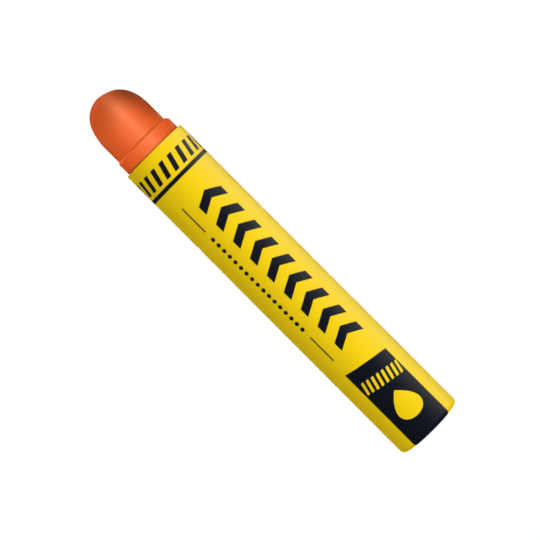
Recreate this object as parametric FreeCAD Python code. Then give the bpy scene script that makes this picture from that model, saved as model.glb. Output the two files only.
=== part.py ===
# Solid paint marker: a stick of cast paint in a rolled paper sleeve.
#
# The marker stands on the curled rear end of its sleeve. The origin is the middle of the
# ring that it stands on, +Z runs along the marker to the nose of the paint, and +Y is the
# back, where the last ply of the paper laps over itself.
#
# It is made of three pieces. The sleeve is rolled from one sheet of paper, and its rear end
# is curled inwards. A paperboard disc lies on the turned-up edge of the curl and closes the
# sleeve. The paint is cast on the disc, in one piece with its collar, shoulder and nose.
#
# Lengths are in millimetres and angles in degrees.

import FreeCAD, Part
import math
import os

# Paint stick
paint_diameter = 17.5
collar_length = 4.2  # bare paint of full width, from the sleeve's mouth to the foot of the shoulder
shoulder_step = 0.65  # how far the tip is set in from the collar, all round
shoulder_length = 1.24  # length along the marker of the round that ends the collar
tip_length = 5.3  # straight stretch from the foot of the shoulder to the dome
flank_radius = 14.45  # flank of the dome, tangent to the straight stretch
flank_turn = 21.2  # angle that the flank bends through before the rounder nose takes over
heel_round = 0.3  # rear edge of the paint

# Paper sleeve
sleeve_length = 100.05
paper_wall = 0.95
paint_gap = 0.05  # the paint shrinks from the paper by this much all round as it sets
mouth_outer_round = 0.25
mouth_inner_round = 0.15
curl_bend = 0.6  # radius inside the paper at both bends of the curl
curl_seat = 1.0  # width of the flat ring that the marker stands on
curl_leg = 1.1  # height of the turned-up edge above the bends

# Lap of the last ply
ply_thickness = 0.12
lap_width = 5.0  # the step runs out to nothing over this width
lap_bearing = 90.0  # where the free edge of the ply lies, from +X towards +Y

# End disc
disc_thickness = 1.2
disc_gap = 0.1  # between the rim of the disc and the bore of the sleeve
disc_round = 0.2

same_point = 1e-6  # ends of a section's lines and arcs nearer than this are one point

# Sizes that follow from these
paint_radius = paint_diameter / 2
tip_radius = paint_radius - shoulder_step
bore_radius = paint_radius + paint_gap
sleeve_radius = bore_radius + paper_wall
bend_radius = curl_bend + paper_wall
seat_outer_radius = sleeve_radius - bend_radius
seat_inner_radius = seat_outer_radius - curl_seat
leg_outer_radius = seat_inner_radius - curl_bend
leg_inner_radius = seat_inner_radius - bend_radius
leg_top = bend_radius + curl_leg
disc_radius = bore_radius - disc_gap
disc_top = leg_top + disc_thickness
shoulder_foot = sleeve_length + collar_length
dome_base = shoulder_foot + tip_length


def at(radius, height):
    """A point of a section, by its distance from the marker's axis and its height."""
    return FreeCAD.Vector(radius, 0, height)


def around(radius, bearing):
    """A point at height zero, by its distance from the axis and its bearing from +X."""
    turn = math.radians(bearing)
    return FreeCAD.Vector(radius * math.cos(turn), radius * math.sin(turn), 0)


def bend(centre, radius, start, end):
    """An arc in a section. Its angles count from straight outwards towards the nose."""

    def on_arc(angle):
        turn = math.radians(angle)
        return centre + at(radius * math.cos(turn), radius * math.sin(turn))

    return Part.Arc(on_arc(start), on_arc((start + end) / 2), on_arc(end)).toShape()


def outline(*steps):
    """The face inside points and arcs that follow each other, joined by straight lines."""

    def ends(step):
        if isinstance(step, FreeCAD.Vector):
            return step, step
        return step.valueAt(step.FirstParameter), step.valueAt(step.LastParameter)

    edges = []
    here = ends(steps[-1])[1]
    for step in steps:
        start, end = ends(step)
        if not here.isEqual(start, same_point):
            edges.append(Part.LineSegment(here, start).toShape())
        if not isinstance(step, FreeCAD.Vector):
            edges.append(step)
        here = end
    return Part.Face(Part.Wire(edges))


def turned(section):
    """The solid that a section sweeps in one turn about the marker's axis."""
    return section.revolve(FreeCAD.Vector(0, 0, 0), FreeCAD.Vector(0, 0, 1), 360)


def paint_stick():
    """The cast paint: body, collar, shoulder, straight tip and a dome of two tangent arcs."""
    heel = bend(at(paint_radius - heel_round, disc_top + heel_round), heel_round, -90, 0)

    # tangent to the collar, and down to the tip at the shoulder's foot
    shoulder_radius = (shoulder_length**2 + shoulder_step**2) / (2 * shoulder_step)
    shoulder_turn = math.degrees(math.asin(shoulder_length / shoulder_radius))
    shoulder_centre = at(paint_radius - shoulder_radius, shoulder_foot - shoulder_length)
    shoulder = bend(shoulder_centre, shoulder_radius, 0, shoulder_turn)

    # the nose is centred on the axis, so its radius is what the flank leaves for it
    turn = math.radians(flank_turn)
    flank_centre = at(tip_radius - flank_radius, dome_base)
    flank = bend(flank_centre, flank_radius, 0, flank_turn)
    nose_radius = (tip_radius - flank_radius * (1 - math.cos(turn))) / math.cos(turn)
    nose_centre = at(0, dome_base + (flank_radius - nose_radius) * math.sin(turn))
    nose = bend(nose_centre, nose_radius, flank_turn, 90)

    return turned(outline(at(0, disc_top), heel, shoulder, flank, nose))


def lap_of_last_ply():
    """The free edge of the last ply: one ply high, and running out over the lap's width."""
    lap_turn = math.degrees(lap_width / sleeve_radius)
    middle = lap_bearing + lap_turn / 2
    end = lap_bearing + lap_turn
    root_radius = sleeve_radius - paper_wall / 2
    ramp = Part.Arc(
        around(sleeve_radius + ply_thickness, lap_bearing),
        around(sleeve_radius + ply_thickness / 2, middle),
        around(sleeve_radius, end),
    )
    root = Part.Arc(
        around(root_radius, end),
        around(root_radius, middle),
        around(root_radius, lap_bearing),
    )
    strip = outline(ramp.toShape(), root.toShape())
    strip.translate(FreeCAD.Vector(0, 0, bend_radius))
    straight_length = sleeve_length - mouth_outer_round - bend_radius
    return strip.extrude(FreeCAD.Vector(0, 0, straight_length))


def paper_tube():
    """The sleeve: a straight wall, its rear end curled in to a flat seat and a turned-up leg."""
    outer_bend_centre = at(seat_outer_radius, bend_radius)
    inner_bend_centre = at(seat_inner_radius, bend_radius)
    mouth_outer = at(sleeve_radius - mouth_outer_round, sleeve_length - mouth_outer_round)
    mouth_inner = at(bore_radius + mouth_inner_round, sleeve_length - mouth_inner_round)
    wall = turned(
        outline(
            at(leg_inner_radius, leg_top),
            bend(inner_bend_centre, bend_radius, 180, 270),
            bend(outer_bend_centre, bend_radius, 270, 360),
            bend(mouth_outer, mouth_outer_round, 0, 90),
            bend(mouth_inner, mouth_inner_round, 90, 180),
            bend(outer_bend_centre, curl_bend, 360, 270),
            bend(inner_bend_centre, curl_bend, 270, 180),
            at(leg_outer_radius, leg_top),
        )
    )
    return wall.fuse(lap_of_last_ply())


def end_disc():
    """The punched disc that closes the sleeve, lying on the turned-up edge of the curl."""
    lower_edge = bend(at(disc_radius - disc_round, leg_top + disc_round), disc_round, -90, 0)
    upper_edge = bend(at(disc_radius - disc_round, disc_top - disc_round), disc_round, 0, 90)
    return turned(outline(at(0, leg_top), lower_edge, upper_edge, at(0, disc_top)))


os.makedirs("parts", exist_ok=True)
for make in (paint_stick, paper_tube, end_disc):
    make().exportStep(f"parts/{make.__name__}.step")
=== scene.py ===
"""The looks of a solid paint marker: cast paint, a printed paper sleeve and a board disc.

Lengths are in metres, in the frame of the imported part: the marker stands on z = 0, +Z runs to
the nose of the paint, -Y is the middle of the printed front and +Y the lap of the paper.
"""

import logging
import math
from collections.abc import Sequence
from dataclasses import dataclass
from enum import Enum

import bpy
import numpy as np
from bpy.types import Collection, Material, Node, NodeSocket, NodeTree, Object
from mathutils import Matrix, Vector

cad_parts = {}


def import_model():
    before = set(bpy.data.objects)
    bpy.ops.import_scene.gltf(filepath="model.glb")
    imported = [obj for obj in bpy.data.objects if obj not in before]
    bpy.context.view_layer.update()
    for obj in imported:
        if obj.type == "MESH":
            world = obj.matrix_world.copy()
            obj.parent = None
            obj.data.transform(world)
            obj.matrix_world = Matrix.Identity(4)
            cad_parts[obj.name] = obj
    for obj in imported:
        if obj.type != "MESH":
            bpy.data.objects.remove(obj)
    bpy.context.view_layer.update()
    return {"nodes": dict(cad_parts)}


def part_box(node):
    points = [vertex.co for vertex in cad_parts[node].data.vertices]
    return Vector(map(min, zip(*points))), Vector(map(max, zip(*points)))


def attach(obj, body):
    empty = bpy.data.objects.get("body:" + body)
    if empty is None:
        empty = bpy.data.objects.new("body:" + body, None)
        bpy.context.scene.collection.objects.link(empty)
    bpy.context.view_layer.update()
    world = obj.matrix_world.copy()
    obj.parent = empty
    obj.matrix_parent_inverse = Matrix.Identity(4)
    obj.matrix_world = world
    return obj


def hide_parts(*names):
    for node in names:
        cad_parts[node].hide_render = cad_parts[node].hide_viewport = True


log = logging.getLogger("paint_marker")

MM = 0.001
BODY = "root"
FRONT = -math.pi / 2  # bearing of the middle of the printed front
SHARP_EDGE = math.radians(35)
ROUND_OFF = 1e-9  # a stretch that is over a whole number of steps by this much needs no further one

# Some sockets of a Mix node share a name, so its two colours and their mixture go by number.
MIX_FIRST = 6
MIX_SECOND = 7
MIXTURE = 2

# The two ends of a stretch, two shares, or a point of a section.
Pair = tuple[float, float]

# What each input of a node gets, by the input's name or number: a socket, or a value of its own.
Inputs = dict[str | int, NodeSocket | float | tuple[float, ...]]

# The points of a closed film, and the corners of its quads.
Film = tuple[np.ndarray, np.ndarray]


class Slot(Enum):
    """The record's material slots for the paint, the paper and the ink; nothing here uses them."""

    PAINT = "paint"
    PAPER = "sleeve_paper"
    INK = "print_ink"


def linear(colour: str) -> tuple[float, float, float, float]:
    """Turns an sRGB hex colour into linear RGBA.

    A channel c over 0.04045 becomes (c + 0.055) / 1.055 to the power 2.4, and c / 12.92 below.

    Args:
        colour: a number sign and six hex digits.

    Returns:
        The linear colour, with an alpha of 1.
    """
    channels = np.array([int(colour[start : start + 2], 16) for start in (1, 3, 5)]) / 255
    lit = np.where(channels > 0.04045, ((channels + 0.055) / 1.055) ** 2.4, channels / 12.92)
    return (*map(float, lit), 1.0)


class Nodes:
    """A material's shader nodes, with its pattern on Object coordinates."""

    def __init__(self, tree: NodeTree) -> None:
        """Starts with the coordinates alone.

        Args:
            tree: the material's node tree.
        """
        tree.nodes.clear()
        self.tree = tree
        self.places = self.add("TexCoord").outputs["Object"]

    def add(self, kind: str, inputs: Inputs | None = None, **settings: str | bool) -> Node:
        """Adds a shader node with its settings and links.

        Args:
            kind: the node's type, without ShaderNode in front.
            inputs: a value, or the socket that feeds it, for each input by name or number.
            **settings: the node's own attributes.

        Returns:
            The new node.
        """
        node = self.tree.nodes.new("ShaderNode" + kind)
        for name, value in settings.items():
            setattr(node, name, value)
        for key, value in (inputs or {}).items():
            if isinstance(value, NodeSocket):
                self.tree.links.new(value, node.inputs[key])
            else:
                node.inputs[key].default_value = value
        return node

    def spots(
        self, size: float, detail: float, low: float = 0.0, high: float = 1.0
    ) -> tuple[NodeSocket, NodeSocket]:
        """Adds soft random spots.

        Args:
            size: of the largest spots, in metres.
            detail: how many times spots of half the size are laid over them.
            low: the share between the spots.
            high: the share in their middle.

        Returns:
            A height from 0 to 1, for a relief, and the share, over which the middle half of that
            height is spread.
        """
        pattern = {"Vector": self.places, "Scale": 1 / size, "Detail": detail}
        height = self.add("TexNoise", pattern).outputs["Fac"]
        spread = {"Value": height, "From Min": 0.25, "From Max": 0.75, "To Min": low, "To Max": high}
        return height, self.add("MapRange", spread).outputs["Result"]

    def mottled(
        self, size: float, detail: float, first: str, second: str
    ) -> tuple[NodeSocket, NodeSocket]:
        """Adds spots of one colour on another.

        Args:
            size: of the largest spots, in metres.
            detail: how many times spots of half the size are laid over them.
            first: the colour between the spots, in sRGB hex.
            second: the colour in their middle.

        Returns:
            The height of the spots, and the colour.
        """
        height, share = self.spots(size, detail)
        colours = {"Factor": share, MIX_FIRST: linear(first), MIX_SECOND: linear(second)}
        return height, self.add("Mix", colours, data_type="RGBA").outputs[MIXTURE]


@dataclass(frozen=True)
class Finish:
    """What every finish has. A kind of finish adds its pattern in its own dress method."""

    name: str

    def make(self) -> Material:
        """Makes the material.

        Returns:
            The material.
        """
        material = bpy.data.materials.new(self.name)
        material.use_nodes = True
        nodes = Nodes(material.node_tree)
        shader = nodes.add("BsdfPrincipled", self.dress(nodes))
        nodes.add("OutputMaterial", {"Surface": shader.outputs["BSDF"]})
        return material

    def dress(self, nodes: Nodes) -> Inputs:
        """Adds the pattern. Each kind of finish has its own.

        Args:
            nodes: of the material.

        Returns:
            The inputs of the shader: a value where it is the same all over, or else a socket.
        """
        raise NotImplementedError


@dataclass(frozen=True)
class CastOilPaint(Finish):
    """Solid oil paint: dense pigment in wax and drying oil, poured hot and left to set.

    The wax gives a broad soft sheen and no sharp reflection, and the dense pigment right under
    the skin makes that sheen stronger than on plain wax. The poured skin has faint clouds where
    the pigment settled, and a fine grain that breaks the sheen's edge up. The tip's colour is
    darker towards the nose and on the side towards +X: painted shade. The edge of the shoulder
    is painted paler, a painted highlight, and thin dark lines of painted shade lie in the groove
    above it and where the paint meets the paper.

    Each pair of lengths is a stretch of the height, apart from the side's. That is a stretch of
    the distance towards +X, at the height where the nose begins to darken, and it moves back by
    side_lean for each metre above that.
    """

    body: str = "#F0642A"
    cloud: str = "#EC6028"
    # painted highlight: the paler colour on the shoulder's edge
    painted_highlight: str = "#FF7E48"
    # painted shade: the darker colour on the tip's side and nose, in the groove line and at the neck
    painted_shade: str = "#903C19"
    sheen: str = "#FFB483"
    tip: Pair = (104.0 * MM, 104.6 * MM)
    side: Pair = (2.5 * MM, 7.5 * MM)
    side_lean: float = 0.15
    side_rise: Pair = (102.5 * MM, 109.0 * MM)
    side_shade_share: float = 0.57
    nose: Pair = (108.0 * MM, 119.0 * MM)
    nose_shade_shares: Pair = (0.09, 0.6)
    neck: Pair = (100.45 * MM, 100.15 * MM)
    neck_shade_share: float = 0.6
    edge: Pair = (103.2 * MM, 103.7 * MM)
    edge_end: Pair = (103.9 * MM, 104.1 * MM)
    highlight_share: float = 0.22
    groove: Pair = (103.88 * MM, 104.04 * MM)
    groove_end: Pair = (104.18 * MM, 104.3 * MM)
    groove_shade_share: float = 0.28
    cloud_size: float = 3.4 * MM
    cloud_detail: float = 4
    grain_size: float = 0.35 * MM  # the real grain, under 0.05 mm, is too fine to show
    grain_detail: float = 3
    grain_height: float = 0.012 * MM
    lump_size: float = 2.6 * MM
    lump_detail: float = 2
    lump_height: float = 0.02 * MM
    smooth: float = 0.46
    rough: float = 0.54
    ior: float = 1.8
    depth: float = 0.05
    depth_reach: tuple[float, float, float] = (0.9, 0.25, 0.08)
    depth_scale: float = 0.4 * MM

    def shares(self, nodes: Nodes) -> tuple[NodeSocket, NodeSocket]:
        """Works out the shares of painted highlight and painted shade on the skin.

        A fade is a smooth step over a stretch, from its first share to its second. A thin line
        is one fade less the next. The tip is as dark as the side's fade times its rise, plus the
        nose's fade, and none of that goes below the tip.

        Args:
            nodes: of the material.

        Returns:
            The share of painted highlight and the share of painted shade, from 0 to 1.
        """
        place = nodes.add("SeparateXYZ", {"Vector": nodes.places}).outputs
        height = place["Z"]
        leaned = {0: height, 1: self.side_lean, 2: place["X"]}
        across = nodes.add("Math", leaned, operation="MULTIPLY_ADD").outputs["Value"]
        shift = self.side_lean * self.nose[0]
        fades = {
            # painted shade on the tip's +X side and towards the nose
            "side": (across, (self.side[0] + shift, self.side[1] + shift), (0.0, self.side_shade_share)),
            "side_rise": (height, self.side_rise, (0.0, 1.0)),
            "nose": (height, self.nose, self.nose_shade_shares),
            "on_tip": (height, self.tip, (0.0, 1.0)),
            # painted shade: a dark line where the paint meets the paper
            "neck": (height, self.neck, (0.0, self.neck_shade_share)),
            # painted shade: a thin dark line in the groove above the shoulder
            "groove": (height, self.groove, (0.0, self.groove_shade_share)),
            "groove_end": (height, self.groove_end, (0.0, self.groove_shade_share)),
            # painted highlight on the shoulder's edge
            "edge": (height, self.edge, (0.0, self.highlight_share)),
            "edge_end": (height, self.edge_end, (0.0, self.highlight_share)),
        }
        sums = {
            "tip": ("MULTIPLY_ADD", "side", "side_rise", "nose"),
            "bare_tip": ("MULTIPLY", "tip", "on_tip"),
            "tip_and_neck": ("ADD", "bare_tip", "neck"),
            "line": ("SUBTRACT", "groove", "groove_end"),
            "dark": ("ADD", "tip_and_neck", "line"),
            "painted_highlight": ("SUBTRACT", "edge", "edge_end"),
        }
        found = {}
        for name, (value, (start, end), (low, high)) in fades.items():
            step = {"Value": value, "From Min": start, "From Max": end, "To Min": low, "To Max": high}
            node = nodes.add("MapRange", step, interpolation_type="SMOOTHSTEP")
            found[name] = node.outputs["Result"]
        for name, (operation, *terms) in sums.items():
            numbered = {number: found[term] for number, term in enumerate(terms)}
            node = nodes.add("Math", numbered, operation=operation, use_clamp=True)
            found[name] = node.outputs["Value"]
        return found["painted_highlight"], found["dark"]

    def dress(self, nodes: Nodes) -> Inputs:
        """Puts clouds, painted highlight and shade in the colour, and grain over lumps in the relief.

        Args:
            nodes: of the material.

        Returns:
            The inputs of the shader.
        """
        _, colour = nodes.mottled(self.cloud_size, self.cloud_detail, self.body, self.cloud)
        # mixes in the painted highlight on the shoulder's edge, then the painted shade
        for share, tint in zip(self.shares(nodes), (self.painted_highlight, self.painted_shade)):
            colours = {"Factor": share, MIX_FIRST: colour, MIX_SECOND: linear(tint)}
            colour = nodes.add("Mix", colours, data_type="RGBA").outputs[MIXTURE]
        grain, roughness = nodes.spots(self.grain_size, self.grain_detail, self.smooth, self.rough)
        waves = {"Vector": nodes.places, "Scale": 1 / self.lump_size, "Detail": self.lump_detail}
        lumps = {"Height": nodes.add("TexNoise", waves).outputs["Fac"], "Distance": self.lump_height}
        lumped = nodes.add("Bump", lumps).outputs["Normal"]
        skin = {"Height": grain, "Distance": self.grain_height, "Normal": lumped}
        return {
            "Base Color": colour,
            "Roughness": roughness,
            "Normal": nodes.add("Bump", skin).outputs["Normal"],
            "IOR": self.ior,
            "Specular Tint": linear(self.sheen),
            "Subsurface Weight": self.depth,
            "Subsurface Radius": self.depth_reach,
            "Subsurface Scale": self.depth_scale,
        }


@dataclass(frozen=True)
class CoatedPaper(Finish):
    """The last ply: coated paper printed all over in one flat colour and varnished.

    The varnish gives it a wide pale sheen towards the light, and the paper under it a slight
    unevenness that is only seen in that sheen.
    """

    body: str = "#EECB15"
    worn: str = "#ECC914"
    patch_size: float = 5.0 * MM
    patch_detail: float = 3
    peel_size: float = 0.7 * MM
    peel_detail: float = 3
    peel_height: float = 0.0035 * MM
    smooth: float = 0.36
    rough: float = 0.44
    ior: float = 1.45

    def dress(self, nodes: Nodes) -> Inputs:
        """Puts faint patches in the colour, and a fine peel in the roughness and the relief.

        Args:
            nodes: of the material.

        Returns:
            The inputs of the shader.
        """
        _, colour = nodes.mottled(self.patch_size, self.patch_detail, self.body, self.worn)
        peel, roughness = nodes.spots(self.peel_size, self.peel_detail, self.smooth, self.rough)
        relief = {"Height": peel, "Distance": self.peel_height}
        return {
            "Base Color": colour,
            "Roughness": roughness,
            "Normal": nodes.add("Bump", relief).outputs["Normal"],
            "IOR": self.ior,
        }


@dataclass(frozen=True)
class PrintingInk(CoatedPaper):
    """Black printing ink under the same varnish as the paper, a little blue where it is lit.

    It has the paper's own peel, and a finer mottle where the ink is thinner.
    """

    body: str = "#11141D"
    worn: str = "#13161F"
    patch_size: float = 1.6 * MM
    patch_detail: float = 4


@dataclass(frozen=True)
class GreyBoard(Finish):
    """Recycled greyboard, punched into a disc: matte, with long pale and dark fibres."""

    pulp: str = "#A89F90"
    fibre: str = "#7E7466"
    fibre_size: float = 0.5 * MM  # the real fibres, 0.03 mm wide, are too fine to show
    fibre_detail: float = 6
    fibre_height: float = 0.03 * MM
    roughness: float = 0.9

    def dress(self, nodes: Nodes) -> Inputs:
        """Puts fibres in the colour, and the same ones in the relief.

        Args:
            nodes: of the material.

        Returns:
            The inputs of the shader.
        """
        fibres, colour = nodes.mottled(self.fibre_size, self.fibre_detail, self.pulp, self.fibre)
        relief = {"Height": fibres, "Distance": self.fibre_height}
        return {
            "Base Color": colour,
            "Roughness": self.roughness,
            "Normal": nodes.add("Bump", relief).outputs["Normal"],
        }


@dataclass(frozen=True)
class RolledBoard(GreyBoard):
    """Raw pulp board, as the sleeve's inner plies and its cut edges show it.

    The plies are glued turns of one sheet, so a cut edge has a dark line of glue at each turn.
    """

    pulp: str = "#C9BFA9"
    fibre: str = "#AFA48D"
    fibre_size: float = 0.25 * MM  # coarser than the real ones here too
    fibre_detail: float = 5
    fibre_height: float = 0.02 * MM
    roughness: float = 0.85
    glue: str = "#8D806A"
    glue_share: float = 0.18
    ply: float = 0.12 * MM

    def dress(self, nodes: Nodes) -> Inputs:
        """Lays a glue line over the fibres each time the radius gains a ply.

        The line is where the radius over the ply has a fraction under the glue's share.

        Args:
            nodes: of the material.

        Returns:
            The inputs of the shader.
        """
        inputs = super().dress(nodes)
        flat = nodes.add("VectorMath", {0: nodes.places, 1: (1.0, 1.0, 0.0)}, operation="MULTIPLY")
        radius = nodes.add("VectorMath", {0: flat.outputs["Vector"]}, operation="LENGTH")
        plies = {0: radius.outputs["Value"], 1: 1 / self.ply}
        turns = nodes.add("Math", plies, operation="MULTIPLY").outputs["Value"]
        within = {0: nodes.add("Math", {0: turns}, operation="FRACT").outputs["Value"], 1: self.glue_share}
        line = nodes.add("Math", within, operation="LESS_THAN").outputs["Value"]
        colours = {"Factor": line, MIX_FIRST: inputs["Base Color"], MIX_SECOND: linear(self.glue)}
        glued = nodes.add("Mix", colours, data_type="RGBA").outputs[MIXTURE]
        return inputs | {"Base Color": glued}


@dataclass(frozen=True)
class StudioWhite(Finish):
    """A sweep of white paper that is lit from behind, so that it shows no shadow and no edge."""

    paper: str = "#F4F4F4"
    light: str = "#FFFFFF"
    glow: float = 1.03

    def dress(self, nodes: Nodes) -> Inputs:
        """Gives one even white with a glow of its own. The sweep is the one thing with no pattern.

        Args:
            nodes: of the material; not used.

        Returns:
            The inputs of the shader.
        """
        return {
            "Base Color": linear(self.paper),
            "Roughness": 1.0,
            "Specular IOR Level": 0.0,
            "Emission Color": linear(self.light),
            "Emission Strength": self.glow,
        }


def arc(centre: Pair, radius: float, start: float, end: float, steps: int = 24) -> np.ndarray:
    """Points of an arc in a section, at centre plus radius times the angle's cosine and sine.

    Args:
        centre: its distance from the marker's axis, and its height.
        radius: of the arc.
        start: the first angle in degrees, from straight outwards towards the nose.
        end: the last angle.
        steps: how many chords it is drawn with.

    Returns:
        Rows of distance from the axis and height.
    """
    angle = np.radians(np.linspace(start, end, steps + 1))
    return np.array(centre) + radius * np.column_stack([np.cos(angle), np.sin(angle)])


def filled(path: np.ndarray, step: float) -> np.ndarray:
    """Adds points to a path, evenly along each stretch, so that none is longer than step.

    Args:
        path: rows of points.
        step: the longest stretch allowed.

    Returns:
        The path with its own points kept.
    """
    length = np.concatenate([[0.0], np.cumsum(np.linalg.norm(np.diff(path, axis=0), axis=1))])
    parts = np.maximum(np.ceil(np.diff(length) / step - ROUND_OFF).astype(int), 1)
    start = np.repeat(length[:-1], parts)
    within = np.arange(parts.sum()) - np.repeat(np.cumsum(parts) - parts, parts)
    places = start + within * np.repeat(np.diff(length) / parts, parts)
    places = np.append(places, length[-1])
    return np.column_stack([np.interp(places, length, line) for line in path.T])


def around(radius: np.ndarray, bearing: np.ndarray, height: np.ndarray) -> np.ndarray:
    """Points at a distance from the axis, at a bearing from +X towards +Y, and at a height."""
    x, y = radius * np.cos(bearing), radius * np.sin(bearing)
    return np.stack(np.broadcast_arrays(x, y, height), axis=-1)


def grid_faces(
    rows: int, columns: int, closed_rows: bool = False, closed_columns: bool = False
) -> np.ndarray:
    """Corner numbers of the quads between neighbouring rows and columns of a grid of points.

    Args:
        rows: how many rows of points there are.
        columns: how many points a row has.
        closed_rows: the last row joins the first.
        closed_columns: the last column joins the first.

    Returns:
        One row of four corners for each quad.
    """
    row = np.arange(rows if closed_rows else rows - 1)[:, None]
    column = np.arange(columns if closed_columns else columns - 1)[None, :]
    here, above = row * columns, (row + 1) % rows * columns
    beside = (column + 1) % columns
    corners = [here + column, here + beside, above + beside, above + column]
    return np.stack(corners, axis=-1).reshape(-1, 4)


def piece(
    name: str,
    points: np.ndarray,
    faces: Sequence[np.ndarray],
    materials: Sequence[Material],
    zones: np.ndarray | None = None,
) -> Object:
    """Makes a smooth-shaded object whose place is in its mesh.

    Args:
        name: of the piece.
        points: its vertices, in metres.
        faces: arrays of corner numbers, such as one of quads and one of triangles.
        materials: one for each zone.
        zones: the zone of each face, where it has more than one.

    Returns:
        The object, linked to the scene.
    """
    mesh = bpy.data.meshes.new(name)
    mesh.from_pydata(points.tolist(), [], [corners for group in faces for corners in group.tolist()])
    for material in materials:
        mesh.materials.append(material)
    if zones is not None:
        mesh.polygons.foreach_set("material_index", zones.astype(np.int32))
    mesh.shade_smooth()
    mesh.set_sharp_from_angle(angle=SHARP_EDGE)
    mesh.validate()
    made = bpy.data.objects.new(name, mesh)
    bpy.context.scene.collection.objects.link(made)
    return made


def slab(top: np.ndarray, bottom: np.ndarray) -> Film:
    """Closes a film between two grids of points.

    Args:
        top: the outer grid, whose rows and columns turn anticlockwise seen from outside.
        bottom: the inner grid, of the same shape.

    Returns:
        Its points, and the corners of its quads.
    """
    rows, columns = top.shape[:2]
    number = np.arange(rows * columns).reshape(rows, columns)
    below = rows * columns
    outer = grid_faces(rows, columns)
    inner = outer[:, ::-1] + below
    rim = (number[0], number[-1, ::-1], number[:, -1], number[::-1, 0])
    sides = [np.column_stack([run[1:], run[:-1], run[:-1] + below, run[1:] + below]) for run in rim]
    points = np.concatenate([top.reshape(-1, 3), bottom.reshape(-1, 3)])
    return points, np.concatenate([outer, inner, *sides])


@dataclass(frozen=True)
class Ripple:
    """The slow unevenness of a surface that was rolled or poured, and not machined.

    It is the mean of a few sine waves round the axis and along it, with fixed random phases,
    moved so that it only ever takes material off. Each goes a whole number of times round the
    axis, and along it at a rate between the two given, in waves for each wave's length.
    """

    depth: float
    wave: float
    seed: int
    waves: int = 6
    most_turns: int = 4
    rates: Pair = (0.5, 1.6)

    def __call__(self, height: np.ndarray, bearing: np.ndarray) -> np.ndarray:
        """Works the unevenness out.

        Args:
            height: along the marker.
            bearing: round it, of the same shape.

        Returns:
            How far the surface lies outside its true form: from minus depth to 0.
        """
        random = np.random.default_rng(self.seed)
        turns = random.integers(1, self.most_turns + 1, self.waves)
        rise = random.uniform(*self.rates, self.waves) * 2 * math.pi / self.wave
        phase = random.uniform(0, 2 * math.pi, (2, self.waves))
        round_it = np.sin(turns * bearing[..., None] + phase[0])
        along_it = np.sin(rise * height[..., None] + phase[1])
        return self.depth * ((round_it * along_it).mean(axis=-1) - 1) / 2


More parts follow.
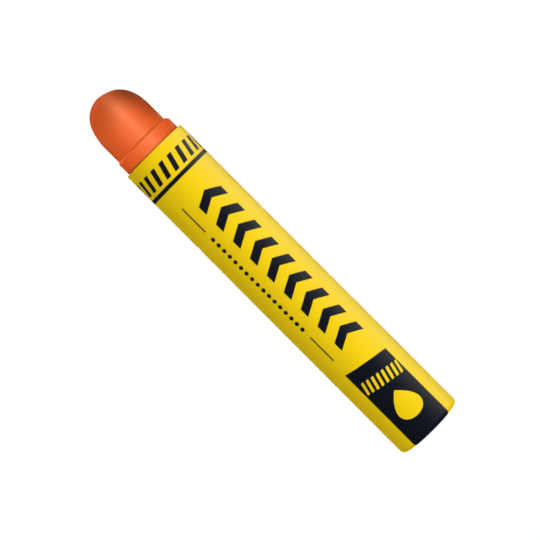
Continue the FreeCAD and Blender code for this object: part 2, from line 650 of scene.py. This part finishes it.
@dataclass
class PaintStick:
    """The cast paint: a body in the sleeve, a bare collar, a rounded shoulder, and a domed tip.

    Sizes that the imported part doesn't give by its box are fields. The flank's turn is in degrees.
    """

    radius: float
    foot: float
    mouth: float
    shrink: float = 0.07 * MM
    heel_round: float = 0.3 * MM
    neck_depth: float = 0.1 * MM
    neck_length: float = 0.3 * MM
    collar_length: float = 4.07 * MM
    shoulder_step: float = 0.67 * MM
    shoulder_length: float = 1.15 * MM
    tip_length: float = 5.43 * MM
    flank_radius: float = 14.45 * MM
    flank_turn: float = 21.2
    groove: float = 0.05 * MM
    bore_offset: float = 0.04 * MM
    collar_offset: float = 0.12 * MM
    collar_shift: Pair = (-0.2 * MM, 0.6 * MM)
    tip_offset: float = 0.42 * MM
    nose_offset: float = 0.36 * MM
    nose_shift: float = 3.0 * MM
    nose_slant: float = 0.045
    nose_sunk: float = 0.01 * MM
    worn_depth: float = 0.18 * MM
    worn_across: float = 1.75 * MM
    worn_width: float = 1.65 * MM
    ripple: Ripple = Ripple(0.04 * MM, 9 * MM, seed=11)
    ripple_run_in: float = 2.0 * MM
    small_steps: int = 8
    shoulder_steps: int = 16
    nose_steps: int = 48
    columns: int = 256
    row_step: float = 0.4 * MM

    def __post_init__(self) -> None:
        """Works out the heights and radii that follow from the sizes."""
        self.radius -= self.shrink
        self.tip_radius = self.radius - self.shoulder_step
        self.shoulder_foot = self.mouth + self.collar_length
        self.shoulder_top = self.shoulder_foot - self.shoulder_length
        self.dome_base = self.shoulder_foot + self.tip_length
        turn = math.radians(self.flank_turn)
        inset = self.flank_radius * (1 - math.cos(turn))
        self.nose_radius = (self.tip_radius - inset) / math.cos(turn)
        self.nose_centre = self.dome_base + (self.flank_radius - self.nose_radius) * math.sin(turn)
        self.apex = self.nose_centre + self.nose_radius
        self.cap_turn = (90 - self.flank_turn) / self.nose_steps

    def section(self) -> np.ndarray:
        """The outline from the heel to the nose.

        The flank's arc is tangent to the straight tip, and the nose's arc is tangent to the flank
        and centred on the axis. A hairline groove runs round the shoulder's foot, where the
        mould's cap met its barrel. The paint draws in a little at the mouth, where it shrank
        from the paper. The last point, on the axis, is left out for the pole.

        Returns:
            Rows of distance from the axis and height.
        """
        shoulder_radius = (self.shoulder_length**2 + self.shoulder_step**2) / (2 * self.shoulder_step)
        shoulder_turn = math.degrees(math.asin(self.shoulder_length / shoulder_radius))
        heel_centre = (self.radius - self.heel_round, self.foot + self.heel_round)
        shoulder_centre = (self.radius - shoulder_radius, self.shoulder_top)
        groove_centre = (self.tip_radius, self.shoulder_foot + self.groove)
        flank_centre = (self.tip_radius - self.flank_radius, self.dome_base)
        heel = arc(heel_centre, self.heel_round, -90, 0, self.small_steps)
        neck = [
            [self.radius, self.mouth - 2 * self.neck_length],
            [self.radius - self.neck_depth, self.mouth],
            [self.radius, self.mouth + self.neck_length],
        ]
        shoulder = arc(shoulder_centre, shoulder_radius, 0, shoulder_turn, self.shoulder_steps)
        groove = arc(groove_centre, self.groove, 270, 90, self.small_steps)
        flank = arc(flank_centre, self.flank_radius, 0, self.flank_turn)
        nose = arc((0.0, self.nose_centre), self.nose_radius, self.flank_turn, 90, self.nose_steps)
        return filled(np.vstack([heel, neck, shoulder, groove[1:], flank, nose[1:-1]]), self.row_step)

    def offset(self, height: np.ndarray) -> np.ndarray:
        """How far the paint stands off the sleeve's axis towards -X.

        The parts of the mould were a little out of line, so it steps at the mouth and again
        along the shoulder, evenly between the heights given here.

        Args:
            height: along the marker.

        Returns:
            The distance at each height.
        """
        collar = (*(self.mouth + shift for shift in self.collar_shift), self.shoulder_top)
        tip = (self.shoulder_foot, self.dome_base, self.dome_base + self.nose_shift)
        collar_offsets = (self.bore_offset, self.collar_offset, self.collar_offset)
        tip_offsets = (self.tip_offset, self.tip_offset, self.nose_offset)
        return np.interp(height, collar + tip, collar_offsets + tip_offsets)

    def build(self, material: Material) -> Object:
        """Turns the section about the axis and closes both ends at a pole.

        The nose is slanted: its height falls in proportion to the way across, more and more
        from the dome's base to the top. A shallow flat is worn into it on the side towards +X,
        as deep as a bell curve of the distance from its middle. The nose's pole lies over the
        last row by that row's radius times the tangent of half the last step's turn.

        Args:
            material: the cast paint.

        Returns:
            The paint stick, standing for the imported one.
        """
        section = self.section()
        turn = np.linspace(0, 2 * math.pi, self.columns, endpoint=False)[None, :]
        radius, height, bearing = np.broadcast_arrays(section[:, :1], section[:, 1:], turn)
        bare = np.clip((height - self.mouth) / self.ripple_run_in, 0, 1)
        rows = around(radius + bare * self.ripple(height, bearing), bearing, height)
        rise = np.clip((height - self.dome_base) / (self.apex - self.dome_base), 0, 1)
        blend = rise * rise * (3 - 2 * rise)
        lowest = self.nose_slant**2 * self.nose_radius / 2 + self.nose_sunk
        from_flat = (rows[..., 0] - self.worn_across) ** 2 + rows[..., 1] ** 2
        worn = self.worn_depth * np.exp(-from_flat / self.worn_width**2)
        rows[..., 2] -= blend * (self.nose_slant * rows[..., 0] + lowest + worn)
        rows[..., 0] -= self.offset(height)
        nose_top = rows[-1, :, 2].mean() + section[-1, 0] * math.tan(math.radians(self.cap_turn / 2))
        poles = np.array([[0, 0, self.foot], [-self.nose_offset, 0, nose_top]])
        points = np.concatenate([rows.reshape(-1, 3), poles])
        first = np.arange(self.columns)
        beside = np.roll(first, -1)
        last = (len(section) - 1) * self.columns
        below = np.column_stack([beside, first, np.full(self.columns, len(points) - 2)])
        above = np.column_stack([last + first, last + beside, np.full(self.columns, len(points) - 1)])
        sides = grid_faces(len(section), self.columns, closed_columns=True)
        made = piece("paint_cast", points, [sides, below, above], [material])
        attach(made, BODY)
        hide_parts("paint_stick")
        return made


class Zone(Enum):
    """The sleeve's faces, by what shows there."""

    PRINTED = 0
    RAW = 1
    # painted shade: the cut edge at the mouth
    SHADED_RIM = 2


class Layer(Enum):
    """How many films a layer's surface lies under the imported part's."""

    KNOCKOUT = 0
    INK = 1
    PAPER = 2
    BACKING = 3


@dataclass
class Sleeve:
    """The rolled paper sleeve, with its rear end curled in and the last ply lapped at the back.

    It was rolled a hair tighter than its nominal size, on a slightly tapered mandrel, so it
    narrows a little towards the mouth. A place on its printed side is given by the way along
    the paper and by a bearing. Along the straight wall the way is the height, and it goes on
    below that round the curl.
    """

    radius: float
    length: float
    slack: float = 0.09 * MM
    wall: float = 0.95 * MM
    mouth_taper: float = 0.12 * MM
    corner: float = 1.3 * MM
    curl_bend: float = 0.6 * MM
    curl_seat: float = 1.0 * MM
    curl_leg: float = 1.1 * MM
    mouth_round: float = 0.1 * MM
    ply: float = 0.12 * MM
    lap_width: float = 5.0 * MM
    lap_bearing: float = math.pi / 2
    lap_hair: float = 0.02 * MM
    film: float = 0.01 * MM
    ripple: Ripple = Ripple(0.03 * MM, 34 * MM, seed=5)
    ripple_run_in: float = 4.0 * MM
    mouth_steps: int = 6
    curl_steps: int = 12
    columns: int = 256
    row_step: float = 1.0 * MM
    bore_row_step: float = 4.0 * MM

    def __post_init__(self) -> None:
        """Works the printed side's path out, from the cut edge on the leg to the mouth."""
        self.radius -= self.slack
        self.wall -= self.slack
        self.bend = self.curl_bend + self.wall
        self.seat_outer = self.radius - self.bend
        self.seat_inner = self.seat_outer - self.curl_seat
        self.leg_top = self.bend + self.curl_leg
        mouth = (self.radius - self.mouth_round, self.length - self.mouth_round)
        path = [
            [[self.seat_inner - self.bend, self.leg_top]],
            arc((self.seat_inner, self.bend), self.bend, 180, 270),
            arc((self.radius - self.corner, self.corner), self.corner, 270, 360),
            arc(mouth, self.mouth_round, 0, 90, self.mouth_steps),
        ]
        self.path = filled(np.vstack(path), self.row_step)
        steps = np.linalg.norm(np.diff(self.path, axis=0), axis=1)
        length = np.concatenate([[0.0], np.cumsum(steps)])
        bends = math.pi / 2 * (self.bend + self.corner)
        curl = self.curl_leg + bends + self.seat_outer - self.seat_inner
        self.way = length - curl - self.bend + 2 * self.corner
        tangent = np.gradient(self.path, axis=0)
        tangent /= np.linalg.norm(tangent, axis=1, keepdims=True)
        self.outwards = np.column_stack([tangent[:, 1], -tangent[:, 0]])

    def lap(self, way: np.ndarray, bearing: np.ndarray) -> np.ndarray:
        """How far the last ply stands proud: one ply at its free edge, and evenly down to none.

        Args:
            way: along the paper.
            bearing: from +X towards +Y, in radians.

        Returns:
            The height of the step at each place.
        """
        turn = np.mod(bearing - self.lap_bearing, 2 * math.pi)
        ramp = np.clip(1 - turn * self.radius / self.lap_width, 0, 1)
        low = np.clip((way - self.bend) / self.wall, 0, 1)
        high = np.clip((self.length - self.mouth_round - way) / self.mouth_round, 0, 1)
        return self.ply * ramp * low * high

    def surface(self, way: np.ndarray, bearing: np.ndarray, layer: Layer) -> np.ndarray:
        """Points of the printed side.

        They are moved square to the paper by the layer's depth, the lap, the unevenness, which
        sets in above the curl, and the taper, which grows with the way.

        Args:
            way: along the paper, from the stand's height upwards.
            bearing: from +X towards +Y, in radians.
            layer: on whose surface they lie.

        Returns:
            The points, in a grid of the same shape.
        """
        way, bearing = np.broadcast_arrays(way, bearing)
        tracks = (*self.path.T, *self.outwards.T)
        radius, height, out, up = (np.interp(way, self.way, track) for track in tracks)
        straight = np.clip((way - self.bend) / self.ripple_run_in, 0, 1)
        uneven = self.ripple(way, bearing) * straight
        taper = self.mouth_taper * np.clip(way / self.length, 0, 1)
        relief = self.lap(way, bearing) + uneven - taper - layer.value * self.film
        return around(radius + out * relief, bearing, height + up * relief)

    def bearings(self) -> np.ndarray:
        """Bearings of the columns, from one side of the lap's step right round to its other side."""
        hair = self.lap_hair / self.radius
        return self.lap_bearing + np.linspace(hair, 2 * math.pi - hair, self.columns)

    def build(self, printed: Material, raw: Material, shaded_rim: Material) -> Object:
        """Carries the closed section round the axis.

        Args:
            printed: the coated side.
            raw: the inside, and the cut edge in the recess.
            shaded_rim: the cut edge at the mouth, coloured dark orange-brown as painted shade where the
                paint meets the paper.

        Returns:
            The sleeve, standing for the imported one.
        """
        bearing = self.bearings()[None, :]
        outside = self.surface(self.way[:, None], bearing, Layer.PAPER)
        bore = self.radius - self.wall
        mouth = (bore + self.mouth_round, self.length - self.mouth_round)
        path = [
            arc(mouth, self.mouth_round, 90, 180, self.mouth_steps),
            arc((self.seat_outer, self.bend), self.curl_bend, 360, 270, self.curl_steps),
            arc((self.seat_inner, self.bend), self.curl_bend, 270, 180, self.curl_steps),
            [[self.seat_inner - self.curl_bend, self.leg_top]],
        ]
        inside = filled(np.vstack(path), self.bore_row_step)
        rows = np.concatenate([outside, around(inside[:, :1], bearing, inside[:, 1:])])
        zones = np.full(len(rows), Zone.RAW.value)
        zones[: len(outside) - 1] = Zone.PRINTED.value
        # the cut edge at the mouth gets a dark colour: painted shade where the paint meets the paper
        zones[len(outside) - 1 : len(outside) + self.mouth_steps] = Zone.SHADED_RIM.value
        faces = grid_faces(len(rows), self.columns, closed_rows=True, closed_columns=True)
        finishes = [printed, raw, shaded_rim]
        made = piece("paper_sleeve", rows.reshape(-1, 3), [faces], finishes, np.repeat(zones, self.columns))
        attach(made, BODY)
        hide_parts("paper_tube")
        return made


@dataclass
class Label:
    """The sleeve's print: plain bars, chevrons, dots and fields, all laid on as thin films.

    Places are the way along the paper and the distance across it from the middle of the front,
    towards +X, both in metres.
    """

    sleeve: Sleeve
    step: float = 0.4 * MM

    ring_low: float = 90.2 * MM
    ring_high: float = 91.3 * MM
    ring_run_out: float = 0.3 * MM
    ring_rows: int = 4
    bar_low: float = 92.2 * MM
    bar_high: float = 96.7 * MM
    bar_width: float = 1.45 * MM
    bar_slant: float = 1.2 * MM
    bar_count: int = 20

    chevron_first: float = 81.2 * MM
    chevron_pitch: float = 6.05 * MM
    chevron_count: int = 9
    chevron_thick: float = 2.7 * MM
    chevron_rise: float = 2.2 * MM
    chevron_left: float = -2.1 * MM
    chevron_right: float = 6.2 * MM
    chevron_grid: tuple[int, int] = (8, 25)

    rule_across: float = -5.7 * MM
    rule_thick: float = 0.4 * MM
    rule_length: float = 8.4 * MM
    rule_tops: Pair = (84.5 * MM, 38.6 * MM)
    dot_first: float = 73.4 * MM
    dot_last: float = 41.4 * MM
    dot_count: int = 17
    dot_radius: float = 0.6 * MM
    dot_grid: int = 7

    panel_left: float = -6.4 * MM
    panel_right: float = 6.8 * MM
    panel_front: float = 24.4 * MM
    panel_slant: float = -0.173
    panel_grid: tuple[int, int] = (40, 41)
    panel_curl_rows: int = 72
    tick_count: int = 8
    tick_pitch: float = 1.52 * MM
    tick_width: float = 0.8 * MM
    tick_height: float = 3.4 * MM
    tick_way: float = 18.6 * MM
    tick_lean: float = 0.9 * MM
    drop_way: float = 10.0 * MM
    drop_across: float = 0.2 * MM
    drop_height: float = 4.3 * MM
    drop_width: float = 4.9 * MM
    drop_grid: int = 33

    def film(self, way: np.ndarray, across: np.ndarray, layer: Layer) -> Film:
        """One print film: its face a film or two above the paper, and its back in the paper.

        Args:
            way: along the paper, for each point of a grid. It falls from row to row.
            across: round the paper, for the same points. It grows from column to column.
            layer: how high the film's face lies.

        Returns:
            Its points and quads, as slab gives them.
        """
        bearing = FRONT + across / self.sleeve.radius
        face, back = (self.sleeve.surface(way, bearing, level) for level in (layer, Layer.BACKING))
        return slab(face[::-1], back[::-1])

    def block(
        self, way: float, height: float, across: float, width: float, lean: float, layer: Layer
    ) -> Film:
        """A parallelogram.

        Args:
            way: of its lower edge.
            height: from there to its upper edge.
            across: where the lower edge starts.
            width: of both edges.
            lean: how much further on the upper edge starts.
            layer: how high its face lies.

        Returns:
            The film.
        """
        rows = np.linspace(1, 0, max(2, math.ceil(height / self.step) + 1))[:, None]
        columns = np.linspace(0, 1, max(2, math.ceil(width / self.step) + 1))[None, :]
        return self.film(way + rows * height + 0 * columns, across + columns * width + rows * lean, layer)

    def joined(self, name: str, films: Sequence[Film], material: Material) -> Object:
        """Makes one piece of several films that are printed in one go.

        Args:
            name: of the piece.
            films: points and quads of each film.
            material: the ink or the bare paper.

        Returns:
            The piece, which goes with the sleeve.
        """
        starts = np.cumsum([0] + [len(points) for points, _ in films[:-1]])
        points = np.concatenate([points for points, _ in films])
        faces = np.concatenate([faces + start for start, (_, faces) in zip(starts, films)])
        made = piece(name, points, [faces], [material])
        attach(made, BODY)
        log.info("%s: %d films", name, len(films))
        return made

    def ring(self) -> list[Film]:
        """A plain line right round the sleeve, that misses itself a little at the lap.

        Returns:
            Its film.
        """
        across = (self.sleeve.bearings()[None, :] - FRONT) * self.sleeve.radius
        run_out = self.ring_run_out * (np.linspace(0, 1, self.sleeve.columns)[None, :] - 0.5)
        rows = np.linspace(1, 0, self.ring_rows)[:, None]
        way = self.ring_low + rows * (self.ring_high - self.ring_low) + run_out
        return [self.film(way, across + 0 * rows, Layer.INK)]

    def bars(self) -> list[Film]:
        """Slanted bars, evenly spaced right round the sleeve, with the lap between two of them.

        Returns:
            Their films.
        """
        height = self.bar_high - self.bar_low
        pitch = 2 * math.pi * self.sleeve.radius / self.bar_count
        spare = pitch - self.bar_width - self.bar_slant
        starts = pitch * (np.arange(self.bar_count) - self.bar_count / 2) + spare / 2
        sizes = (self.bar_width, self.bar_slant, Layer.INK)
        return [self.block(self.bar_low, height, start, *sizes) for start in starts]

    def chevrons(self) -> list[Film]:
        """A row of chevrons that point to the nose, each highest in the middle of its width.

        Returns:
            Their films.
        """
        rows, columns = self.chevron_grid
        share = np.linspace(-1, 1, columns)[None, :]
        upwards = np.linspace(1, 0, rows)[:, None]
        middle = (self.chevron_left + self.chevron_right) / 2
        half = (self.chevron_right - self.chevron_left) / 2
        shape = upwards * self.chevron_thick - np.abs(share) * self.chevron_rise
        across = middle + share * half + 0 * upwards
        places = self.chevron_first - self.chevron_pitch * np.arange(self.chevron_count)
        return [self.film(place + shape, across, Layer.INK) for place in places]

    def rules_and_dots(self) -> list[Film]:
        """A thin rule at each end of a row of small dots.

        Returns:
            Their films.
        """
        left = self.rule_across - self.rule_thick / 2
        sizes = (left, self.rule_thick, 0.0, Layer.INK)
        rules = [self.block(top - self.rule_length, self.rule_length, *sizes) for top in self.rule_tops]
        places = np.linspace(self.dot_first, self.dot_last, self.dot_count)
        across, way = self.disc(self.dot_radius, self.dot_grid)
        return rules + [self.film(place + way, self.rule_across + across, Layer.INK) for place in places]

    @staticmethod
    def disc(radius: float, points: int) -> tuple[np.ndarray, np.ndarray]:
        """A round shape on a square grid.

        A place (u, v) of the square goes to u times the root of 1 - v squared / 2, and likewise
        for v, which takes the square's edge to the circle.

        Args:
            radius: of the disc.
            points: how many points each side of the grid has.

        Returns:
            The distances across and along, for each point of the grid.
        """
        u = np.linspace(-1, 1, points)[None, :]
        v = np.linspace(1, -1, points)[:, None]
        return radius * u * np.sqrt(1 - v * v / 2), radius * v * np.sqrt(1 - u * u / 2)

    def panel(self) -> list[Film]:
        """A dark field from a slanted front edge to the rear and round the curl to its cut edge.

        Returns:
            Its film.
        """
        rows, columns = self.panel_grid
        across = np.linspace(self.panel_left, self.panel_right, columns)[None, :]
        front = self.panel_front + self.panel_slant * across
        share = np.linspace(1, 0, rows)[:, None]
        wall = self.sleeve.bend + share * (front - self.sleeve.bend)
        curl = np.linspace(self.sleeve.bend, self.sleeve.way[0], self.panel_curl_rows)[1:, None]
        way = np.vstack([wall, curl + 0 * across])
        return [self.film(way, across + 0 * way, Layer.INK)]

    def ticks(self) -> list[Film]:
        """A row of narrow bars left bare in the dark field, along a line with its front's slant.

        Returns:
            Their films.
        """
        starts = self.tick_pitch * (np.arange(self.tick_count) - (self.tick_count - 1) / 2)
        low = self.tick_way - self.tick_height / 2 + self.panel_slant * starts
        left = starts - self.tick_width / 2
        sizes = (self.tick_width, self.tick_lean, Layer.KNOCKOUT)
        return [self.block(way, self.tick_height, across, *sizes) for way, across in zip(low, left)]

    def drop(self) -> list[Film]:
        """A drop of paint left bare in the dark field, with its point towards the nose.

        It is a disc whose width is taken in by the root of the distance from its top.

        Returns:
            Its film.
        """
        across, way = self.disc(1.0, self.drop_grid)
        taken = np.sqrt(np.clip(1 - way, 0, 2) / 2)
        along = self.drop_way + self.drop_height * way
        return [self.film(along, self.drop_across + self.drop_width * across * taken, Layer.KNOCKOUT)]

    def build(self, ink: Material, paper: Material) -> list[Object]:
        """Makes every print, the dark ones first and then what they leave bare.

        Args:
            ink: the dark ink.
            paper: the bare coated paper.

        Returns:
            The pieces of the print.
        """
        return [
            self.joined("print_ring", self.ring(), ink),
            self.joined("print_bars", self.bars(), ink),
            self.joined("print_chevrons", self.chevrons(), ink),
            self.joined("print_rules_and_dots", self.rules_and_dots(), ink),
            self.joined("print_panel", self.panel(), ink),
            self.joined("print_ticks", self.ticks(), paper),
            self.joined("print_drop", self.drop(), paper),
        ]


class Share(Enum):
    """What a soft box feeds: a surface's own colour, or the sheen on top of it."""

    COLOUR = "colour"
    SHEEN = "sheen"


@dataclass(frozen=True)
class SoftBox:
    """An upright soft box that faces the marker's middle and lights one group of pieces alone.

    The bearing counts from the front towards +X, and the elevation from there towards the nose.
    """

    name: str
    bearing: float
    elevation: float
    power: float
    share: Share
    distance: float = 0.9
    width: float = 0.16
    tall: float = 0.4

    def place(self, middle: Vector, lit: Collection) -> None:
        """Makes the light.

        Args:
            middle: of the marker.
            lit: the pieces that it lights.
        """
        data = bpy.data.lights.new(self.name, "AREA")
        data.shape = "RECTANGLE"
        data.size, data.size_y = self.width, self.tall
        data.energy = self.power
        data.cycles.use_multiple_importance_sampling = False
        made = bpy.data.objects.new(self.name, data)
        turn, rise = math.radians(self.bearing), math.radians(self.elevation)
        level = self.distance * math.cos(rise)
        away = Vector((level * math.sin(turn), -level * math.cos(turn), self.distance * math.sin(rise)))
        made.location = middle + away
        made.rotation_euler = away.to_track_quat("Z", "Y").to_euler()
        made.visible_camera = False
        made.visible_glossy = self.share is Share.SHEEN
        made.visible_diffuse = self.share is Share.COLOUR
        made.light_linking.receiver_collection = lit
        bpy.context.scene.collection.objects.link(made)


@dataclass
class Studio:
    """A white sweep, soft boxes, and the camera at the photograph's angle.

    The sleeve and the bare paint have soft boxes of their own, as a retoucher lights them apart.
    Angles are in degrees, and the power of a light in watts.
    """

    floor_radius: float = 2.5
    floor_rings: tuple[float, ...] = (0.1, 0.5, 1.0)
    dome_radius: float = 3.0
    dome_rise: Pair = (-60, 88)
    dome_rows: int = 32
    columns: int = 96
    fill_power: float = 1.6
    fill_size: float = 0.6
    fill_rings: tuple[tuple[int, tuple[int, ...]], ...] = (
        (0, (45, 135, -135, -45)),
        (50, (0, 120, -120)),
        (-50, (60, 180, -60)),
    )
    paper_boxes: tuple[SoftBox, ...] = (
        SoftBox("paper_low", 30, -10, 5.6, Share.COLOUR),
        SoftBox("paper_high", 20, 60, 0.91, Share.COLOUR),
        SoftBox("paper_left", -110, 0, 2.6, Share.COLOUR),
        SoftBox("paper_back", 180, 0, 3, Share.COLOUR),
        *(
            SoftBox(f"paper_sheen_{strip}", 10 + 20 * strip, 0, power, Share.SHEEN, width=0.3)
            for strip, power in enumerate((0.13, 0.33, 0.56, 0.91, 0.48, 0.42), 1)
        ),
        SoftBox("paper_rim_right", 170, 0, 2, Share.SHEEN, width=0.3),
        SoftBox("paper_rim_left", -170, 0, 0.57, Share.SHEEN),
    )
    paint_boxes: tuple[SoftBox, ...] = (
        SoftBox("paint_front", 10, 0, 4.9, Share.COLOUR),
        SoftBox("paint_left", -90, 0, 1.35, Share.COLOUR),
        SoftBox("paint_right", 90, 0, 1.2, Share.COLOUR),
        SoftBox("paint_back", -150, 60, 7.1, Share.COLOUR),
        SoftBox("paint_sheen", 20, 0, 3.9, Share.SHEEN),
        SoftBox("paint_sheen_high", 20, 30, 5.1, Share.SHEEN),
        SoftBox("paint_sheen_right", 40, 60, 2.4, Share.SHEEN),
        SoftBox("paint_sheen_left", -20, 0, 1.4, Share.SHEEN),
        SoftBox("paint_sheen_middle", -10, 30, 0.8, Share.SHEEN),
        SoftBox("paint_rim_right", 150, 0, 0.18, Share.SHEEN),
        SoftBox("paint_rim_high", 150, 60, 0.43, Share.SHEEN),
    )

    camera_distance: float = 680 * MM
    camera_rise: float = 1.9
    camera_roll: float = 44.92
    aim_height: float = 57.6 * MM
    aim_across: float = -0.5 * MM
    pixels_per_mm: float = 3.915
    picture_pixels: float = 540.0
    sensor: float = 36.0

    def stage(self, white: Material) -> None:
        """Lays the floor and closes a dome over it. Neither lights the marker.

        Args:
            white: the glowing white of both.
        """
        bearing = np.linspace(0, 2 * math.pi, self.columns, endpoint=False)[None, :]
        disc = np.array(self.floor_rings)[:, None] * self.floor_radius
        flat = around(disc, bearing, 0 * disc)
        first = np.arange(self.columns)
        fan = np.column_stack([np.full(self.columns, flat.size // 3), first, np.roll(first, -1)])
        points = np.concatenate([flat.reshape(-1, 3), np.zeros((1, 3))])
        rings = grid_faces(len(disc), self.columns, closed_columns=True)
        ground = piece("floor", points, [rings[:, ::-1], fan], [white])
        rise = np.radians(np.linspace(*self.dome_rise, self.dome_rows))[:, None]
        shell = around(self.dome_radius * np.cos(rise), bearing, self.dome_radius * np.sin(rise))
        wall = grid_faces(self.dome_rows, self.columns, closed_columns=True)
        dome = piece("dome", shell.reshape(-1, 3), [wall[:, ::-1]], [white])
        for made in (ground, dome):
            made.visible_diffuse = False
            made.visible_glossy = False
            made.visible_shadow = False

    def light(self, boxes: Sequence[SoftBox], pieces: Sequence[Object], name: str) -> None:
        """Places soft boxes that light some of the pieces.

        Args:
            boxes: the soft boxes.
            pieces: what they light.
            name: of the group of pieces.
        """
        lit = bpy.data.collections.new(name)
        for made in pieces:
            lit.objects.link(made)
        for box in boxes:
            box.place(Vector((0.0, 0.0, self.aim_height)), lit)
        log.info("%s: %d soft boxes for %d pieces", name, len(boxes), len(pieces))

    def fill(self, pieces: Sequence[Object]) -> None:
        """Places wide soft boxes all round, which light every piece evenly and give no sheen.

        Args:
            pieces: what they light.
        """
        sizes = {"width": self.fill_size, "tall": self.fill_size}
        boxes = [
            SoftBox(f"fill_{turn}_{rise}", turn, rise, self.fill_power, Share.COLOUR, **sizes)
            for rise, turns in self.fill_rings
            for turn in turns
        ]
        self.light(boxes, pieces, "all_pieces")

    def camera(self) -> None:
        """Aims a long lens square at the marker, rolled so that the nose points up and left."""
        data = bpy.data.cameras.new("camera")
        data.sensor_width = self.sensor
        distance_mm = self.camera_distance / MM
        data.lens = self.pixels_per_mm * distance_mm / self.picture_pixels * self.sensor
        made = bpy.data.objects.new("camera", data)
        rise = math.radians(self.camera_rise)
        aim = Vector((self.aim_across, 0.0, self.aim_height))
        back = Vector((0.0, -math.cos(rise), math.sin(rise)))
        roll = Matrix.Rotation(math.radians(-self.camera_roll), 3, back)
        up = roll @ Vector((0.0, math.sin(rise), math.cos(rise)))
        turn = Matrix((up.cross(back), up, back)).transposed()
        made.matrix_world = Matrix.Translation(aim + back * self.camera_distance) @ turn.to_4x4()
        bpy.context.scene.collection.objects.link(made)
        bpy.context.scene.camera = made


def main() -> None:
    """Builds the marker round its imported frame, dresses it and lights it."""
    logging.basicConfig(level=logging.INFO, format="%(name)s: %(message)s")
    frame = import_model()

    paint = CastOilPaint("cast_oil_paint").make()
    paper = CoatedPaper("coated_paper").make()
    ink = PrintingInk("printing_ink").make()
    rolled = RolledBoard("rolled_board").make()
    # a dark orange-brown board for the mouth's cut edge: painted shade where the paint meets the paper
    shaded_rim = RolledBoard("shaded_rim_board", pulp="#A04A1C", fibre="#8A3D16", glue="#6F3012").make()
    grey = GreyBoard("grey_board").make()

    stick_low, stick_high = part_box("paint_stick")
    _, sleeve_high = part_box("paper_tube")
    stick = PaintStick(radius=stick_high[0], foot=stick_low[2], mouth=sleeve_high[2])
    bare = [stick.build(paint)]
    log.info("paint stick built")

    sleeve = Sleeve(radius=sleeve_high[0], length=sleeve_high[2])
    wrapped = [sleeve.build(paper, rolled, shaded_rim)]
    log.info("sleeve built")
    wrapped += Label(sleeve).build(ink, paper)

    disc = frame["nodes"]["end_disc"]
    for slot in disc.material_slots:
        slot.material = grey
    wrapped.append(disc)
    log.info("end disc dressed")

    studio = Studio()
    studio.stage(StudioWhite("glowing_white").make())
    studio.fill(bare + wrapped)
    studio.light(studio.paper_boxes, wrapped, "lit_paper")
    studio.light(studio.paint_boxes, bare, "lit_paint")
    studio.camera()
    bpy.context.scene.view_settings.view_transform = "Standard"


if __name__ == "__main__":
    main()
